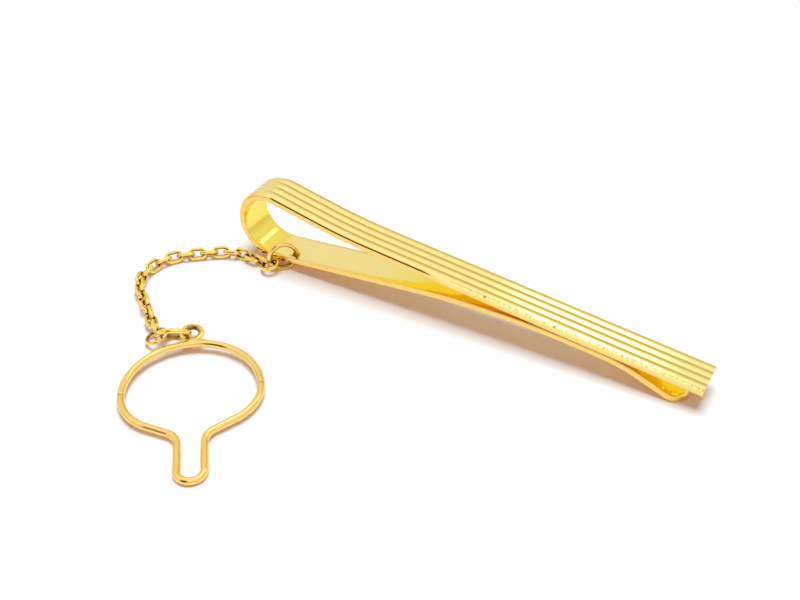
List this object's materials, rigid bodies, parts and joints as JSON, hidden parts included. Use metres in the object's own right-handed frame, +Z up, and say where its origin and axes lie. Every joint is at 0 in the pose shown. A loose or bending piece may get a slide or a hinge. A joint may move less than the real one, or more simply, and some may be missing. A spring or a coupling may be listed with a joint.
{
  "type": "tie clip",
  "caption": "Reeded spring tie clip bent from one strip, with a fine cable chain to a wire loop that hangs on a shirt button.",
  "frame": {"origin": "on the table under the middle of the clip's length and width, the chain and loop left out", "axes": "+X along the clip from its eye to its open tip, +Y across the strip away from the ring's edge, +Z up through the reeded face"},
  "size_m": [0.0649, 0.0385, 0.0098],
  "materials": {
    "gold": "polished"
  },
  "bodies": {
    "leaf": {"spring_leaf": "gold"},
    "bar": {"front_bar": "gold"},
    "clip_ring": {"clip_ring": "gold"},
    "chain_ring_clip_end": {"chain_ring_clip_end": "gold"},
    "chain_link_01": {"chain_link_01": "gold"},
    "chain_link_02": {"chain_link_02": "gold"},
    "chain_link_03": {"chain_link_03": "gold"},
    "chain_link_04": {"chain_link_04": "gold"},
    "chain_link_05": {"chain_link_05": "gold"},
    "chain_link_06": {"chain_link_06": "gold"},
    "chain_link_07": {"chain_link_07": "gold"},
    "chain_link_08": {"chain_link_08": "gold"},
    "chain_link_09": {"chain_link_09": "gold"},
    "chain_link_10": {"chain_link_10": "gold"},
    "chain_link_11": {"chain_link_11": "gold"},
    "chain_link_12": {"chain_link_12": "gold"},
    "chain_link_13": {"chain_link_13": "gold"},
    "chain_link_14": {"chain_link_14": "gold"},
    "chain_link_15": {"chain_link_15": "gold"},
    "chain_link_16": {"chain_link_16": "gold"},
    "chain_link_17": {"chain_link_17": "gold"},
    "chain_link_18": {"chain_link_18": "gold"},
    "chain_link_19": {"chain_link_19": "gold"},
    "chain_link_20": {"chain_link_20": "gold"},
    "chain_ring_loop_end": {"chain_ring_loop_end": "gold"},
    "loop_ring": {"loop_ring": "gold"},
    "button_loop": {"bail_ring": "gold", "loop_arc": "gold", "loop_neck_wire": "gold"}
  },
  "joints": [
    {"name": "bar_spring", "type": "hinge", "parent": "leaf", "child": "bar", "pos_m": [-0.02807, 0, 0.0054], "axis": [0, -1, 0], "range_deg": [0, 6], "stiffness_Nm_per_rad": 1.2, "springref_deg": -2.86},
    {"name": "clip_ring_turn", "type": "hinge", "parent": "leaf", "child": "clip_ring", "pos_m": [-0.02125, -0.00132, 0.0015], "axis": [0, 0, 1], "range_deg": [0, 60]},
    {"name": "chain_ring_clip_end_swing", "type": "hinge", "parent": "clip_ring", "child": "chain_ring_clip_end", "pos_m": [-0.02312, -0.00319, 0.00076], "axis": [0.5087, 0.5087, -0.6947], "range_deg": [-40, 5]},
    {"name": "chain_link_01_swing", "type": "hinge", "parent": "chain_ring_clip_end", "child": "chain_link_01", "pos_m": [-0.02449, -0.00335, 0.00075], "axis": [-0.1631, -0.9802, -0.1123], "range_deg": [-50, 50]},
    {"name": "chain_link_02_swing", "type": "hinge", "parent": "chain_link_01", "child": "chain_link_02", "pos_m": [-0.02588, -0.00308, 0.00075], "axis": [0, 0, -1], "range_deg": [-50, 50]},
    {"name": "chain_link_03_swing", "type": "hinge", "parent": "chain_link_02", "child": "chain_link_03", "pos_m": [-0.02729, -0.00304, 0.00075], "axis": [-0.0513, -0.9794, 0.1951], "range_deg": [-50, 50]},
    {"name": "chain_link_04_swing", "type": "hinge", "parent": "chain_link_03", "child": "chain_link_04", "pos_m": [-0.0287, -0.00319, 0.00075], "axis": [-0.0334, 0.3812, 0.9239], "range_deg": [-50, 50]},
    {"name": "chain_link_05_swing", "type": "hinge", "parent": "chain_link_04", "child": "chain_link_05", "pos_m": [-0.03, -0.00373, 0.00075], "axis": [-0.2844, 0.7813, -0.5556], "range_deg": [-50, 50]},
    {"name": "chain_link_06_swing", "type": "hinge", "parent": "chain_link_05", "child": "chain_link_06", "pos_m": [-0.03113, -0.00459, 0.00075], "axis": [0.4056, -0.5792, -0.7071], "range_deg": [-50, 50]},
    {"name": "chain_link_07_swing", "type": "hinge", "parent": "chain_link_06", "child": "chain_link_07", "pos_m": [-0.03225, -0.00544, 0.00075], "axis": [0.4223, -0.5672, 0.7071], "range_deg": [-50, 50]},
    {"name": "chain_link_08_swing", "type": "hinge", "parent": "chain_link_07", "child": "chain_link_08", "pos_m": [-0.03336, -0.00632, 0.00075], "axis": [-0.4386, 0.5547, 0.7071], "range_deg": [-50, 50]},
    {"name": "chain_link_09_swing", "type": "hinge", "parent": "chain_link_08", "child": "chain_link_09", "pos_m": [-0.03443, -0.00723, 0.00075], "axis": [-0.4545, 0.5417, -0.7071], "range_deg": [-50, 50]},
    {"name": "chain_link_10_swing", "type": "hinge", "parent": "chain_link_09", "child": "chain_link_10", "pos_m": [-0.03521, -0.00842, 0.00075], "axis": [0.5745, -0.4123, -0.7071], "range_deg": [-50, 50]},
    {"name": "chain_link_11_swing", "type": "hinge", "parent": "chain_link_10", "child": "chain_link_11", "pos_m": [-0.03567, -0.00975, 0.00075], "axis": [0.6587, -0.2572, 0.7071], "range_deg": [-50, 50]},
    {"name": "chain_link_12_swing", "type": "hinge", "parent": "chain_link_11", "child": "chain_link_12", "pos_m": [-0.03578, -0.01116, 0.00075], "axis": [-0.7018, 0.0862, 0.7071], "range_deg": [-50, 50]},
    {"name": "chain_link_13_swing", "type": "hinge", "parent": "chain_link_12", "child": "chain_link_13", "pos_m": [-0.03553, -0.01256, 0.00075], "axis": [-0.7002, -0.0984, -0.7071], "range_deg": [-50, 50]},
    {"name": "chain_link_14_swing", "type": "hinge", "parent": "chain_link_13", "child": "chain_link_14", "pos_m": [-0.03492, -0.01383, 0.00075], "axis": [0.6509, 0.2763, -0.7071], "range_deg": [-50, 50]},
    {"name": "chain_link_15_swing", "type": "hinge", "parent": "chain_link_14", "child": "chain_link_15", "pos_m": [-0.034, -0.01491, 0.00075], "axis": [0.5572, 0.4353, 0.7071], "range_deg": [-50, 50]},
    {"name": "chain_link_16_swing", "type": "hinge", "parent": "chain_link_15", "child": "chain_link_16", "pos_m": [-0.03283, -0.01571, 0.00075], "axis": [-0.4255, -0.5647, 0.7071], "range_deg": [-50, 50]},
    {"name": "chain_link_17_swing", "type": "hinge", "parent": "chain_link_16", "child": "chain_link_17", "pos_m": [-0.03172, -0.01657, 0.00075], "axis": [-0.4314, -0.5602, -0.7071], "range_deg": [-50, 50]},
    {"name": "chain_link_18_swing", "type": "hinge", "parent": "chain_link_17", "child": "chain_link_18", "pos_m": [-0.03061, -0.01745, 0.00075], "axis": [0.5142, 0.6534, -0.5556], "range_deg": [-50, 50]},
    {"name": "chain_link_19_swing", "type": "hinge", "parent": "chain_link_18", "child": "chain_link_19", "pos_m": [-0.02951, -0.01833, 0.00075], "axis": [0.2398, 0.2982, 0.9239], "range_deg": [-50, 50]},
    {"name": "chain_link_20_swing", "type": "hinge", "parent": "chain_link_19", "child": "chain_link_20", "pos_m": [-0.02842, -0.01923, 0.00075], "axis": [-0.6225, -0.7579, 0.1951], "range_deg": [-50, 50]},
    {"name": "chain_ring_loop_end_swing", "type": "hinge", "parent": "chain_link_20", "child": "chain_ring_loop_end", "pos_m": [-0.02735, -0.02014, 0.00075], "axis": [0, 0, -1], "range_deg": [-30, 50]},
    {"name": "loop_ring_swing", "type": "hinge", "parent": "chain_ring_loop_end", "child": "loop_ring", "pos_m": [-0.02587, -0.02001, 0.00135], "axis": [-0.4986, 0.8654, -0.0502], "range_deg": [-25, 45]},
    {"name": "button_loop_swing", "type": "hinge", "parent": "loop_ring", "child": "button_loop", "pos_m": [-0.02374, -0.01872, 0.00113], "axis": [-0.6043, 0.3416, -0.7198], "range_deg": [-50, 12]}
  ]
}
